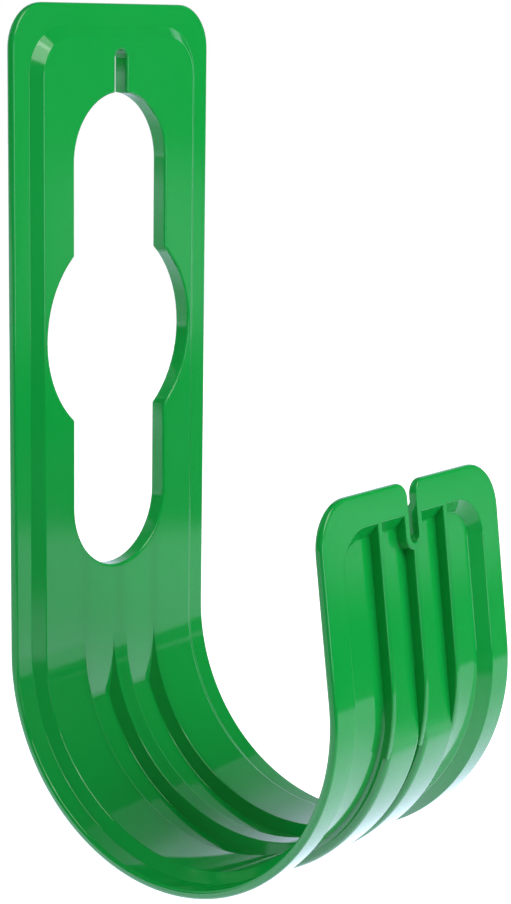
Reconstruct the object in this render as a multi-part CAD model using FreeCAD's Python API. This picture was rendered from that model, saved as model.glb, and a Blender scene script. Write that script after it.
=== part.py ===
import FreeCAD, Part
import math
import os

# Wall hanger for a coiled garden hose: one moulded strip bent to a J.
# Millimetres, +Z up, +Y into the wall, X along the width of the strip.
# While it is being built, z = 0 is the height of the bend axis and y = 0 is
# the wall plane. A point of the section is given by x and by its level, the
# distance from the outer (wall side) surface towards the inside of the J.

# Strip
WIDTH = 80.0
RIM_THICKNESS = 2.4
BEND_OUTER_RADIUS = 55.0
BEND_ANGLE = 187.6
LIP_LENGTH = 49.8
PLATE_CORNER_RADIUS = 12.0
LIP_CORNER_RADIUS = 12.5
STRIP_EDGE_RADIUS = 0.9

# Raised panel on the inside of the J
PANEL_LEVEL = 4.8
PANEL_INSET = 6.1
PANEL_SLOPE = 3.3
PANEL_CORNER_RADIUS = 13.0
PANEL_EDGE_RADIUS = 0.8
PANEL_FOOT_RADIUS = 1.0

# Recess that follows the panel on the outside
RECESS_LEVEL = 3.0
RECESS_INSET = 8.4
RECESS_SLOPE = 3.4
RECESS_CORNER_RADIUS = 11.0
RECESS_FLOOR_RADIUS = 0.8
RECESS_MOUTH_RADIUS = 0.6

# Two grooves along the inside of the bend
GROOVE_NEAR_X = 2.7
GROOVE_FAR_X = 14.8
GROOVE_DEPTH = 3.2
GROOVE_WALL_SPREAD = 2.2
GROOVE_EDGE_RADIUS = 0.5
RUN_OUT_RADIUS = 5.0

# Raised bands outside the bend, under the grooves
BAND_NEAR_X = 0.95
BAND_FAR_X = 15.65
BAND_RISE = 0.2
BAND_EDGE_RADIUS = 2.0

# Three fins in the recess
FIN_SPACING = 14.75
FIN_THICKNESS = 1.8
FIN_EDGE_RADIUS = 0.4
FIN_END_ANGLE = 21.0

# Opening for the tap in the plate
OPENING_EDGE_RADIUS = 0.6
CIRCLE_RADIUS = 29.2
CIRCLE_HEIGHT = 85.1
SLOT_HALF_WIDTH = 18.7
SLOT_REACH = 66.0
COLLAR_WALL = 1.8
COLLAR_EDGE_RADIUS = 0.4

# Narrow slot for the screw above it
SCREW_SLOT_WIDTH = 4.6
SCREW_SLOT_LENGTH = 9.1
PLATE_ABOVE_SEAT = 14.6

# Narrow slot in the lip
LIP_SLOT_WIDTH = 3.9
LIP_SLOT_LENGTH = 16.1
LIP_SLOT_MOUTH_RADIUS = 4.0
LIP_COLLAR_WALL = 1.9

# How far a cutting body runs past the surface it meets
OVERLAP = 1.0

# How far a fin, band or collar runs into the wall that carries it
EMBEDDING = 0.4

# Heights that follow from the opening
SCREW_SEAT_HEIGHT = CIRCLE_HEIGHT + SLOT_REACH + SCREW_SLOT_LENGTH
PLATE_HEIGHT = SCREW_SEAT_HEIGHT + PLATE_ABOVE_SEAT

X_AXIS = FreeCAD.Vector(1, 0, 0)
Y_AXIS = FreeCAD.Vector(0, 1, 0)
Z_AXIS = FreeCAD.Vector(0, 0, 1)
BEND_AXIS_POINT = FreeCAD.Vector(0, -BEND_OUTER_RADIUS, 0)


def level_of(point):
    """Distance of a point from the outer surface of the strip."""
    y = point.y + BEND_OUTER_RADIUS
    if point.z >= 0 and y > 0:
        return BEND_OUTER_RADIUS - y
    angle = math.degrees(math.atan2(-point.z, y)) % 360
    if angle <= BEND_ANGLE:
        return BEND_OUTER_RADIUS - math.hypot(y, point.z)
    lean = math.radians(BEND_ANGLE)
    return BEND_OUTER_RADIUS - y * math.cos(lean) + point.z * math.sin(lean)


def on_level(points, level):
    return all(abs(level_of(point) - level) < 1e-4 for point in points)


def outline_edges(body, level):
    """Edges that bound the faces of a body at one level."""
    found = []
    for edge in body.Edges:
        if not on_level(edge.discretize(Number=4), level):
            continue
        faces = body.ancestorsOfType(edge, Part.Face)
        flat = [face for face in faces if on_level([v.Point for v in face.Vertexes], level)]
        if len(flat) == 1:
            found.append(edge)
    return found


def same_edges(body, wanted):
    """Edges of a body that lie where the wanted edges lie."""
    found = []
    for edge in body.Edges:
        for other in wanted:
            apart = (edge.CenterOfMass - other.CenterOfMass).Length
            if apart < 1e-3 and abs(edge.Length - other.Length) < 1e-3:
                found.append(edge)
                break
    return found


def face_from(points):
    return Part.Face(Part.makePolygon(points + [points[0]]))


def section_face(section):
    """Section given as x and level pairs, standing at the top of the bend."""
    return face_from([FreeCAD.Vector(x, -level, 0) for x, level in section])


def bent(section, start=0.0, end=BEND_ANGLE):
    """Solid left by a section that runs round the bend between two angles."""
    face = section_face(section)
    face.rotate(BEND_AXIS_POINT, X_AXIS, -start)
    return face.revolve(BEND_AXIS_POINT, X_AXIS, start - end)


def onto_lip(shape):
    """Take a shape made for the plate, above z = 0, to the same place on the lip."""
    moved = shape.copy()
    moved.rotate(FreeCAD.Vector(0, 0, 0), Y_AXIS, 180)
    moved.rotate(BEND_AXIS_POINT, X_AXIS, -BEND_ANGLE)
    return moved


def box_between(x_low, x_high, level_low, level_high, z_low, z_high):
    corner = FreeCAD.Vector(x_low, -level_high, z_low)
    return Part.makeBox(x_high - x_low, level_high - level_low, z_high - z_low, corner)


def pin(radius, level_low, level_high, x, z):
    start = FreeCAD.Vector(x, -level_low, z)
    return Part.makeCylinder(radius, level_high - level_low, start, Y_AXIS.negative())


def sloped_slab(length, half_width, corner_radius, level_low, level_high, slope):
    """Slab above z = 0 with a rounded upper end, smaller by slope at level_high."""
    corner_x = half_width - corner_radius
    corner_z = length - corner_radius
    across = section_face([(-half_width, level_low), (half_width, level_low),
                           (half_width - slope, level_high), (slope - half_width, level_high)])
    along = face_from([FreeCAD.Vector(-corner_x, -level_low, 0),
                       FreeCAD.Vector(-corner_x, -level_low, length),
                       FreeCAD.Vector(-corner_x, -level_high, length - slope),
                       FreeCAD.Vector(-corner_x, -level_high, 0)])
    sides = across.extrude(Z_AXIS * corner_z)
    middle = along.extrude(X_AXIS * (2 * corner_x))
    ends = []
    for x in (-corner_x, corner_x):
        start = FreeCAD.Vector(x, -level_low, corner_z)
        ends.append(Part.makeCone(corner_radius, corner_radius - slope, level_high - level_low,
                                  start, Y_AXIS.negative()))
    return sides.fuse([middle] + ends).removeSplitter()


def sloped_tray(inset, corner_radius, level_low, level_high, slope):
    """Sloped slab over the whole J: plate, bend and lip."""
    half = WIDTH / 2 - inset
    plate = sloped_slab(PLATE_HEIGHT - inset, half, corner_radius, level_low, level_high, slope)
    lip = sloped_slab(LIP_LENGTH - inset, half, corner_radius, level_low, level_high, slope)
    bend = bent([(-half, level_low), (half, level_low),
                 (half - slope, level_high), (slope - half, level_high)])
    return plate.fuse([bend, onto_lip(lip)]).removeSplitter()


def plain_plate(length, corner_radius):
    """Flat piece of the strip above z = 0 with its two upper corners rounded."""
    plate = box_between(-WIDTH / 2, WIDTH / 2, 0, RIM_THICKNESS, 0, length)
    corners = [edge for edge in plate.Edges
               if abs(edge.CenterOfMass.z - length) < 1e-6
               and abs(abs(edge.CenterOfMass.x) - WIDTH / 2) < 1e-6]
    return plate.makeFillet(corner_radius, corners)


def strip():
    """The strip itself, with its long edges rounded."""
    plate = plain_plate(PLATE_HEIGHT, PLATE_CORNER_RADIUS)
    lip = plain_plate(LIP_LENGTH, LIP_CORNER_RADIUS)
    half = WIDTH / 2
    bend = bent([(-half, 0), (half, 0), (half, RIM_THICKNESS), (-half, RIM_THICKNESS)])
    body = plate.fuse([bend, onto_lip(lip)]).removeSplitter()
    return body.makeFillet(STRIP_EDGE_RADIUS, long_edges(body))


def long_edges(body):
    """Edges round the outline of the strip, without those that cross it."""
    crossing = (RIM_THICKNESS, WIDTH)
    return [edge for edge in body.Edges
            if all(abs(edge.Length - length) > 1e-6 for length in crossing)]


def panel():
    """Raised panel with rounded upper edges, before anything is cut into it."""
    body = sloped_tray(PANEL_INSET, PANEL_CORNER_RADIUS, RIM_THICKNESS, PANEL_LEVEL, PANEL_SLOPE)
    return body.makeFillet(PANEL_EDGE_RADIUS, outline_edges(body, PANEL_LEVEL))


def recess():
    """Space of the recess, with its floor rounded into its sloped border."""
    body = sloped_tray(RECESS_INSET, RECESS_CORNER_RADIUS, 0, RECESS_LEVEL, RECESS_SLOPE)
    return body.makeFillet(RECESS_FLOOR_RADIUS, outline_edges(body, RECESS_LEVEL))


def tray():
    """Strip with its raised panel and, behind the panel, the recess."""
    raised = panel()
    body = strip().fuse(raised).removeSplitter()
    foot = same_edges(body, outline_edges(raised, RIM_THICKNESS))
    body = body.makeFillet(PANEL_FOOT_RADIUS, foot)
    hollow = recess()
    body = body.cut(hollow).removeSplitter()
    mouth = same_edges(body, outline_edges(hollow, 0))
    return body.makeFillet(RECESS_MOUTH_RADIUS, mouth)


def inside_of(radius, level):
    """Space inside a radius round the bend, cut straight along plate and lip."""
    half = WIDTH / 2
    reach = 3 * radius
    disc = Part.makeCylinder(radius, WIDTH, BEND_AXIS_POINT - X_AXIS * half, X_AXIS)
    before_wall = box_between(-half, half, level, reach, -reach, reach)
    body = disc.common(before_wall).common(onto_lip(before_wall))
    return body.makeFillet(RUN_OUT_RADIUS, [edge for edge in body.Edges if is_kink(body, edge)])


def is_kink(body, edge):
    """True where a flat face meets the round one, straight across the strip."""
    kinds = [face.Surface.TypeId for face in body.ancestorsOfType(edge, Part.Face)]
    return abs(edge.Length - WIDTH) < 1e-6 and sorted(kinds) == ["Part::GeomCylinder", "Part::GeomPlane"]


def groove(side):
    """Space of one groove along the inside of the bend, with rounded edges."""
    near = side * GROOVE_NEAR_X
    far = side * GROOVE_FAR_X
    spread = side * GROOVE_WALL_SPREAD
    floor_level = PANEL_LEVEL - GROOVE_DEPTH
    top = PANEL_LEVEL + OVERLAP
    flare = side * OVERLAP
    ring = bent([(near - flare, top), (far + flare, top),
                 (far + flare, PANEL_LEVEL), (far, PANEL_LEVEL),
                 (far - spread, floor_level), (near + spread, floor_level),
                 (near, PANEL_LEVEL), (near - flare, PANEL_LEVEL)])
    floor_radius = BEND_OUTER_RADIUS - floor_level
    upper = [edge for edge in ring.Edges if is_arc(edge, BEND_OUTER_RADIUS - PANEL_LEVEL)
             and min(abs(edge.CenterOfMass.x - near), abs(edge.CenterOfMass.x - far)) < 1e-3]
    lower = [edge for edge in ring.Edges if is_arc(edge, floor_radius)]
    ring = ring.makeFillet(GROOVE_EDGE_RADIUS, upper + lower)
    return ring.common(inside_of(floor_radius, PANEL_LEVEL))


def band(side):
    """Raised band outside the bend that carries one groove."""
    near = side * BAND_NEAR_X
    far = side * BAND_FAR_X
    root = RECESS_LEVEL + EMBEDDING
    radius = BEND_OUTER_RADIUS + BAND_RISE
    ring = bent([(near, root), (far, root), (far, -BAND_RISE), (near, -BAND_RISE)])
    ring = ring.makeFillet(BAND_EDGE_RADIUS, [edge for edge in ring.Edges if is_arc(edge, radius)])
    return ring.common(inside_of(radius, RECESS_LEVEL))


def is_arc(edge, radius):
    return edge.Curve.TypeId == "Part::GeomCircle" and abs(edge.Curve.Radius - radius) < 1e-6


def fin(x, plate_length, lip_length):
    """The two runs of one fin: plate into band, and band up the lip."""
    half = FIN_THICKNESS / 2
    root = RECESS_LEVEL + EMBEDDING
    section = [(x - half, 0), (x + half, 0), (x + half, root), (x - half, root)]
    plate = box_between(x - half, x + half, 0, root, 0, plate_length)
    plate = plate.fuse(bent(section, 0, FIN_END_ANGLE)).removeSplitter()
    lip = onto_lip(box_between(-x - half, half - x, 0, root, 0, lip_length))
    lip = lip.fuse(bent(section, BEND_ANGLE - FIN_END_ANGLE, BEND_ANGLE)).removeSplitter()
    return [rounded_along(run, 0, FIN_EDGE_RADIUS) for run in (plate, lip)]


def rounded_along(body, level, radius):
    """Round the long edges that a body has at one level."""
    edges = [edge for edge in outline_edges(body, level) if edge.Length > 2 * FIN_THICKNESS]
    return body.makeFillet(radius, edges)


def tap_opening(grow, level_low, level_high):
    """Circle with a round-ended slot above and below it, widened by grow."""
    half = SLOT_HALF_WIDTH + grow
    reach = SLOT_REACH - SLOT_HALF_WIDTH
    body = pin(CIRCLE_RADIUS + grow, level_low, level_high, 0, CIRCLE_HEIGHT)
    slot = box_between(-half, half, level_low, level_high, CIRCLE_HEIGHT - reach, CIRCLE_HEIGHT + reach)
    top = pin(half, level_low, level_high, 0, CIRCLE_HEIGHT + reach)
    bottom = pin(half, level_low, level_high, 0, CIRCLE_HEIGHT - reach)
    return body.fuse([slot, top, bottom]).removeSplitter()


def screw_slot(grow, level_low, level_high):
    half = SCREW_SLOT_WIDTH / 2 + grow
    start = CIRCLE_HEIGHT + SLOT_REACH - SLOT_HALF_WIDTH
    body = box_between(-half, half, level_low, level_high, start, SCREW_SEAT_HEIGHT)
    return body.fuse(pin(half, level_low, level_high, 0, SCREW_SEAT_HEIGHT))


def lip_slot(grow, level_low, level_high, length):
    """Round-bottomed slot open at the end of the lip, as if on the plate."""
    half = LIP_SLOT_WIDTH / 2 + grow
    bottom = LIP_LENGTH - LIP_SLOT_LENGTH + LIP_SLOT_WIDTH / 2
    body = box_between(-half, half, level_low, level_high, bottom, length)
    return body.fuse(pin(half, level_low, level_high, 0, bottom))


def lip_slot_mouth():
    """Material taken off where the two corners of the lip slot are rounded."""
    radius = LIP_SLOT_MOUTH_RADIUS
    half = LIP_SLOT_WIDTH / 2
    low = -OVERLAP
    high = PANEL_LEVEL + OVERLAP
    block = box_between(-half - radius, half + radius, low, high, LIP_LENGTH - radius, LIP_LENGTH + OVERLAP)
    left = pin(radius, low, high, -half - radius, LIP_LENGTH - radius)
    right = pin(radius, low, high, half + radius, LIP_LENGTH - radius)
    return block.cut([left, right])


def collars():
    """Raised borders round the openings, still filled, up to the outer surface."""
    root = RECESS_LEVEL + EMBEDDING
    lip_end = LIP_LENGTH - RECESS_INSET + 2 * EMBEDDING
    plate = tap_opening(COLLAR_WALL, 0, root).fuse(screw_slot(COLLAR_WALL, 0, root)).removeSplitter()
    lip = onto_lip(lip_slot(LIP_COLLAR_WALL, 0, root, lip_end))
    return [body.makeFillet(COLLAR_EDGE_RADIUS, outline_edges(body, 0)) for body in (plate, lip)]


def openings():
    """Everything cut right through: tap opening with screw slot, and lip slot."""
    low = -OVERLAP
    high = PANEL_LEVEL + OVERLAP
    return [tap_opening(0, low, high), screw_slot(0, low, high),
            onto_lip(lip_slot(0, low, high, LIP_LENGTH + OVERLAP)), onto_lip(lip_slot_mouth())]


def round_plate_openings(body):
    """Round the edges of the tap opening and the screw slot, front and back."""
    cutter = tap_opening(0, 0, PANEL_LEVEL).fuse(screw_slot(0, 0, PANEL_LEVEL)).removeSplitter()
    for level in (0, PANEL_LEVEL):
        edges = same_edges(body, outline_edges(cutter, level))
        body = body.makeFillet(OPENING_EDGE_RADIUS, edges)
    return body


def hanger():
    added = [band(-1), band(1)] + collars()
    plate_fin = CIRCLE_HEIGHT - SLOT_REACH + SLOT_HALF_WIDTH
    lip_fin = LIP_LENGTH - RECESS_INSET + EMBEDDING
    short_fin = LIP_LENGTH - LIP_SLOT_LENGTH - LIP_COLLAR_WALL / 2
    added += fin(0, plate_fin, short_fin)
    for x in (-FIN_SPACING, FIN_SPACING):
        added += fin(x, plate_fin, lip_fin)
    body = tray().fuse(added)
    body = body.cut([groove(-1), groove(1)] + openings()).removeSplitter()
    return round_plate_openings(body)


# The origin of the part is the centre of the screw slot's round upper end.
result = hanger().Solids[0]
result.translate(FreeCAD.Vector(0, 0, -SCREW_SEAT_HEIGHT))
os.makedirs("parts", exist_ok=True)
result.exportStep("parts/hose_hanger.step")
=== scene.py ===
"""Garden hose hanger: a strip of green plastic moulded as a J, in a plain studio.

The moulding is built as one shell. Its points are given on the strip before it is bent: x across
the strip, path along it, and level, the distance from the wall side towards the inside of the J.
Path 0 is where the back plate ends and the bend starts. Lengths are millimetres until a point is
placed, and metres from there on. One half is built, and a mirror makes the other.
"""

from __future__ import annotations

import logging
import math
from dataclasses import dataclass, field
from enum import Enum
from typing import Iterable, Sequence, Union

import bmesh
import bpy
from mathutils import Matrix, Vector

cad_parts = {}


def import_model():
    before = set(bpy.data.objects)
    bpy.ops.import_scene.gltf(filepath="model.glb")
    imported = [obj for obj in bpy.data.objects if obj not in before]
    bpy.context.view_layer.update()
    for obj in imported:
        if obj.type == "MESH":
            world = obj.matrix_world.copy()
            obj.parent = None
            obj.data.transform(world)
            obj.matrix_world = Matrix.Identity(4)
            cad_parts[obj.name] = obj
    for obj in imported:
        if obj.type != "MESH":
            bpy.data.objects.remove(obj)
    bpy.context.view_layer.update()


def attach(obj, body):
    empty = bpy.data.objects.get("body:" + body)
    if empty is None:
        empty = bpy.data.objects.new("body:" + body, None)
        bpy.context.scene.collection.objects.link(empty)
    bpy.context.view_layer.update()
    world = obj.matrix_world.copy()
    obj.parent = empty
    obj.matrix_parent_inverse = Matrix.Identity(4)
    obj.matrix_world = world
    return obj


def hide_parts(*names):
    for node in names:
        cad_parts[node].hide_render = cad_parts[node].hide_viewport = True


LOG = logging.getLogger("hose_hanger")
MM = 0.001
WELD = 2e-6
SAME_POINT = 1e-7

StripPoint = tuple[float, float, float]
Place = tuple[float, float, float]
Colour = tuple[float, float, float]
NodeValue = Union[float, tuple[float, ...], bpy.types.NodeSocket]


class PathEnd(Enum):
    """The two ends of the strip."""

    PLATE = "plate"
    LIP = "lip"


class LampRole(Enum):
    """What each softbox of the studio is there for."""

    KEY = "key softbox"
    FRONT = "front softbox"
    OVERHEAD = "overhead softbox"
    RIM = "rim softbox"


@dataclass(frozen=True)
class StripForm:
    """The bent strip that every surface follows.

    Attributes:
        half_width: Half the width of the strip.
        plate_height: Length of the back plate above the bend.
        bend_radius: Radius of the bend at level 0.
        bend_degrees: How far the strip turns.
        lip_length: Length of the lip after the bend.
        seat_height: Height of the screw seat above the bend's axis, where the frame's origin is.
        circle_height: Height of the tap opening's circle above the bend's axis.
    """

    half_width: float = 40.0
    plate_height: float = 174.8
    bend_radius: float = 55.0
    bend_degrees: float = 187.6
    lip_length: float = 49.8
    seat_height: float = 160.2
    circle_height: float = 85.1

    @property
    def bend_angle(self) -> float:
        """Turn of the bend in radians."""
        return math.radians(self.bend_degrees)

    @property
    def bend_end(self) -> float:
        """Path at which the bend ends and the lip starts."""
        return self.bend_radius * self.bend_angle

    @property
    def path_end(self) -> float:
        """Path at the free end of the lip."""
        return self.bend_end + self.lip_length

    def place(self, point: StripPoint) -> Vector:
        """Bend one point of the strip.

        Args:
            point: x, path and level in millimetres.

        Returns:
            The point in the part's frame, in metres.
        """
        x, path, level = point
        angle = min(max(path / self.bend_radius, 0.0), self.bend_angle)
        radius = self.bend_radius - level
        straight = min(path, 0.0) + max(path - self.bend_end, 0.0)
        y = radius * math.cos(angle) - self.bend_radius - straight * math.sin(angle)
        z = -radius * math.sin(angle) - straight * math.cos(angle) - self.seat_height
        return Vector((x, y, z)) * MM


@dataclass(frozen=True)
class BorderNode:
    """One corner of the border's cross-section.

    Attributes:
        inset: Distance from the outline of the strip.
        level: Level of the surface there.
        plate_corner: Radius of the outline's corners at the plate end, at this inset.
        lip_corner: The same at the lip end.
        clear: Radius round the tap opening that a line through this node keeps out of.
    """

    inset: float
    level: float
    plate_corner: float
    lip_corner: float
    clear: float = 0.0

    def corner(self, end: PathEnd) -> float:
        """Corner radius at one end of the strip."""
        return self.plate_corner if end is PathEnd.PLATE else self.lip_corner

    def moved(self, first: "BorderNode", a: float, second: "BorderNode", b: float) -> "BorderNode":
        """Go a millimetres towards the first node and b towards the second.

        Args:
            first: Node that a leads to.
            a: Distance in the cross-section.
            second: Node that b leads to.
            b: Distance in the cross-section.

        Returns:
            The node there, with its corner radii in step.
        """
        values = []
        a_share = a / math.dist((self.inset, self.level), (first.inset, first.level))
        b_share = b / math.dist((self.inset, self.level), (second.inset, second.level))
        for name in ("inset", "level", "plate_corner", "lip_corner", "clear"):
            here = getattr(self, name)
            towards_first = (getattr(first, name) - here) * a_share
            towards_second = (getattr(second, name) - here) * b_share
            values.append(here + towards_first + towards_second)
        return BorderNode(*values)


def rounded_corner(before: BorderNode, corner: BorderNode, after: BorderNode,
                   radius: float, steps: int) -> list[BorderNode]:
    """Replace a corner of a cross-section by an arc.

    Args:
        before: Node before the corner.
        corner: The corner itself.
        after: Node after it.
        radius: Radius of the arc.
        steps: Number of pieces that the arc is drawn with.

    Returns:
        The nodes along the arc, both tangent points included.
    """
    back = Vector((before.inset - corner.inset, before.level - corner.level)).normalized()
    on = Vector((after.inset - corner.inset, after.level - corner.level)).normalized()
    turn = math.pi - math.acos(max(-1.0, min(1.0, back.dot(on))))
    reach = radius * math.tan(turn / 2)
    nodes = []
    for step in range(steps + 1):
        angle = turn * step / steps
        b = radius * (1 - math.cos(angle)) / math.sin(turn)
        a = reach - radius * math.sin(angle) + b * math.cos(turn)
        nodes.append(corner.moved(before, a, after, b))
    return nodes


def quarter_arc(steps: int) -> list[float]:
    """Angles from 0 to a right angle, both included."""
    return [math.pi / 2 * step / steps for step in range(steps + 1)]


def unit_rounding(steps: int) -> list[tuple[float, float]]:
    """Rounding of radius 1 as distances from two sides, from (1, 0) to (0, 1)."""
    return [(1 - math.sin(angle), 1 - math.cos(angle)) for angle in quarter_arc(steps)]


@dataclass
class Shell:
    """Faces of one half of the moulding, collected on the strip and placed when bent."""

    form: StripForm
    mesh: bmesh.types.BMesh = field(default_factory=bmesh.new)

    def grid(self, rows: Sequence[Sequence[StripPoint]]) -> None:
        """Add quads between neighbouring rows.

        Args:
            rows: Lines of points, with as many points in each.
        """
        placed = [[self.mesh.verts.new(self.form.place(point)) for point in row] for row in rows]
        for low, high in zip(placed, placed[1:]):
            for index in range(len(low) - 1):
                self.mesh.faces.new((low[index], low[index + 1], high[index + 1], high[index]))

    def flat(self, outline: Iterable[StripPoint]) -> None:
        """Add one flat face.

        Args:
            outline: Its corners in order, where one may follow itself.
        """
        corners: list[Vector] = []
        for point in outline:
            place = self.form.place(point)
            if not corners or (place - corners[-1]).length > SAME_POINT:
                corners.append(place)
        if (corners[0] - corners[-1]).length <= SAME_POINT:
            corners.pop()
        self.mesh.faces.new([self.mesh.verts.new(corner) for corner in corners])

    def finish(self, name: str) -> bpy.types.Mesh:
        """Weld what meets, turn all faces outwards and hand over the mesh.

        Args:
            name: Name of the mesh.

        Returns:
            The finished mesh, shaded smooth.
        """
        bmesh.ops.remove_doubles(self.mesh, verts=self.mesh.verts, dist=WELD)
        bmesh.ops.dissolve_degenerate(self.mesh, edges=self.mesh.edges, dist=WELD / 2)
        bmesh.ops.recalc_face_normals(self.mesh, faces=self.mesh.faces)
        for face in self.mesh.faces:
            face.smooth = True
        mesh = bpy.data.meshes.new(name)
        self.mesh.to_mesh(mesh)
        self.mesh.free()
        return mesh


@dataclass
class Border:
    """Rounded edge of the strip, raised panel inside the J and recess behind it.

    Attributes:
        form: The bent strip.
        stations: Paths at which the bend is divided.
        recess_clear: Radius round the tap opening that the recess slope keeps out of.
        steps: Number of pieces of each rounding.
        corner_steps: Number of pieces of each corner of the outline.
        plate_steps: Number of pieces of the plate's side next to the tap opening.
        plate_spread: How far these pieces reach, up and down from the opening's middle.
    """

    form: StripForm
    stations: list[float]
    rim_thickness: float = 2.4
    edge_radius: float = 0.9
    plate_corner: float = 12.0
    lip_corner: float = 12.5
    panel_level: float = 4.8
    panel_inset: float = 6.1
    panel_slope: float = 3.3
    panel_corner: float = 13.0
    panel_foot_radius: float = 0.5
    panel_edge_radius: float = 1.0
    recess_level: float = 3.0
    recess_inset: float = 8.4
    recess_slope: float = 3.4
    recess_corner: float = 11.0
    recess_mouth_radius: float = 0.6
    recess_floor_radius: float = 0.8
    recess_clear: float = 30.4
    steps: int = 4
    corner_steps: int = 12
    plate_steps: int = 17
    plate_spread: float = 13.0

    @property
    def plate_stations(self) -> list[float]:
        """Paths beside the tap opening's circle at which the plate's side is divided."""
        first = -self.form.circle_height - self.plate_spread
        return [first + 2 * self.plate_spread * step / self.plate_steps
                for step in range(self.plate_steps + 1)]

    def side_nodes(self, inset: float, corner: float, slope: float, foot_level: float,
                   top_level: float, radii: tuple[float, float], clear: float) -> list[BorderNode]:
        """Cross-section of a slope that follows the outline, with both its corners rounded.

        Args:
            inset: Where the slope starts.
            corner: Radius of the outline's corners there.
            slope: Width of the slope.
            foot_level: Level before the slope.
            top_level: Level after it.
            radii: Radius where the slope starts and where it ends.
            clear: Radius round the tap opening that the slope keeps out of.

        Returns:
            The nodes from the first rounding to the end of the second.
        """
        inner = inset + slope
        far = corner - slope
        nodes = (BorderNode(inset - slope, foot_level, corner + slope, corner + slope, clear),
                 BorderNode(inset, foot_level, corner, corner, clear),
                 BorderNode(inner, top_level, far, far, clear),
                 BorderNode(inner + slope, top_level, far - slope, far - slope, clear))
        start = rounded_corner(*nodes[:3], radii[0], self.steps)
        return start + rounded_corner(*nodes[1:], radii[1], self.steps)

    def panel_nodes(self) -> list[BorderNode]:
        """Cross-section from the rim up to the raised panel."""
        return self.side_nodes(self.panel_inset, self.panel_corner, self.panel_slope,
                               self.rim_thickness, self.panel_level,
                               (self.panel_foot_radius, self.panel_edge_radius), 0.0)

    def recess_nodes(self) -> list[BorderNode]:
        """Cross-section from the back of the rim down to the floor of the recess."""
        return self.side_nodes(self.recess_inset, self.recess_corner, self.recess_slope,
                               0.0, self.recess_level,
                               (self.recess_mouth_radius, self.recess_floor_radius),
                               self.recess_clear)

    def row(self, node: BorderNode) -> list[StripPoint]:
        """One line round half of the strip, from the middle of the plate's end to the lip's corner.

        Args:
            node: Inset, level and corner radii of the line.

        Returns:
            The points of the line, as many for every node.
        """
        side = self.form.half_width - node.inset
        start = node.inset - self.form.plate_height
        end = self.form.path_end - node.inset
        points = [(0.0, start, node.level)]
        radius = node.corner(PathEnd.PLATE)
        for angle in quarter_arc(self.corner_steps):
            x = side - radius + radius * math.sin(angle)
            points.append((x, start + radius - radius * math.cos(angle), node.level))
        for path in self.plate_stations:
            beside = node.clear ** 2 - (path + self.form.circle_height) ** 2
            points.append((max(side, math.sqrt(max(beside, 0.0))), path, node.level))
        points += [(side, path, node.level) for path in self.stations]
        radius = node.corner(PathEnd.LIP)
        for angle in quarter_arc(self.corner_steps):
            x = side - radius + radius * math.cos(angle)
            points.append((x, end - radius + radius * math.sin(angle), node.level))
        return points

    def edge_node(self, inset: float, level: float) -> BorderNode:
        """Node of the strip's own edge, whose corners share their centres."""
        return BorderNode(inset, level, self.plate_corner - inset, self.lip_corner - inset)


@dataclass(frozen=True)
class WallStation:
    """One place along the wall of the lip slot.

    Attributes:
        x: Where it is across the strip.
        path: Where it is along the strip.
        over: How far x goes in one millimetre into the plastic.
        along: How far path goes in that millimetre.
        radius: Radius of the wall's edges there.
        top: Level of the surface inside the J there.
    """

    x: float
    path: float
    over: float
    along: float
    radius: float
    top: float

    def point(self, offset: float, level: float) -> StripPoint:
        """Point beside the wall, offset into the plastic."""
        return (self.x + self.over * offset, self.path + self.along * offset, level)


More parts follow.
